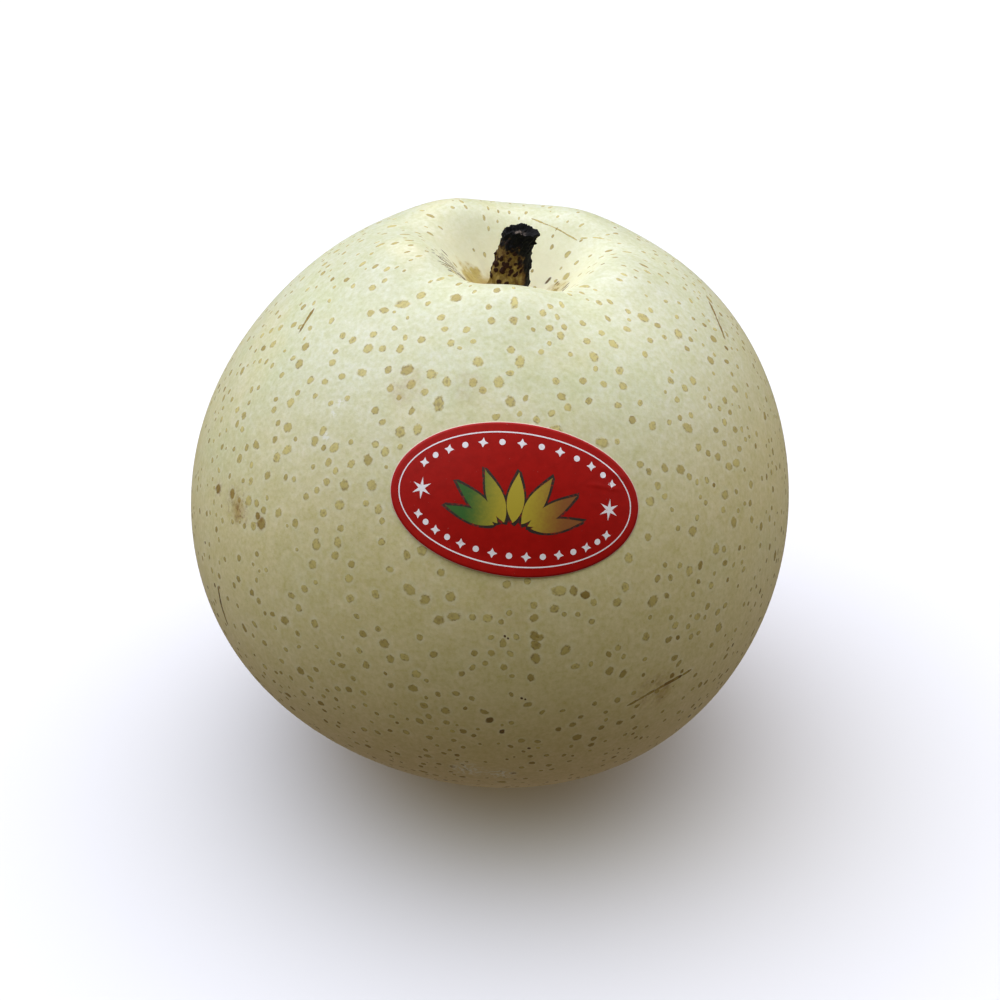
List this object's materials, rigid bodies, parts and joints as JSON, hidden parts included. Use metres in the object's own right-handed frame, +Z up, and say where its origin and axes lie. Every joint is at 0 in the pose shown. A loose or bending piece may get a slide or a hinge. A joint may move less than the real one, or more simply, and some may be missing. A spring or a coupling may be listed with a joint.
{
  "type": "nashi pear",
  "caption": "Round pale-skinned nashi pear with a short woody stalk in a deep stem cavity and an oval paper sticker, resting on the flat ring round its calyx basin.",
  "frame": {"origin": "on the ground under the middle of the fruit's bounding box, with the fruit resting on its flat ring", "axes": "+Z up along the stalk, -Y towards the sticker, +X to the right as seen from the sticker's side"},
  "size_m": [0.085, 0.087, 0.0774],
  "materials": {
    "fruit_skin": "pale cream-green waxy skin with tan lenticel dots, satin",
    "stalk_wood": "dry tan and brown bark, charred black at the cut tip",
    "label_paper": "satin coated red sticker paper with a thin pale edge"
  },
  "bodies": {
    "root": {"fruit": "fruit_skin", "stalk": "stalk_wood", "label": "label_paper"}
  },
  "joints": []
}
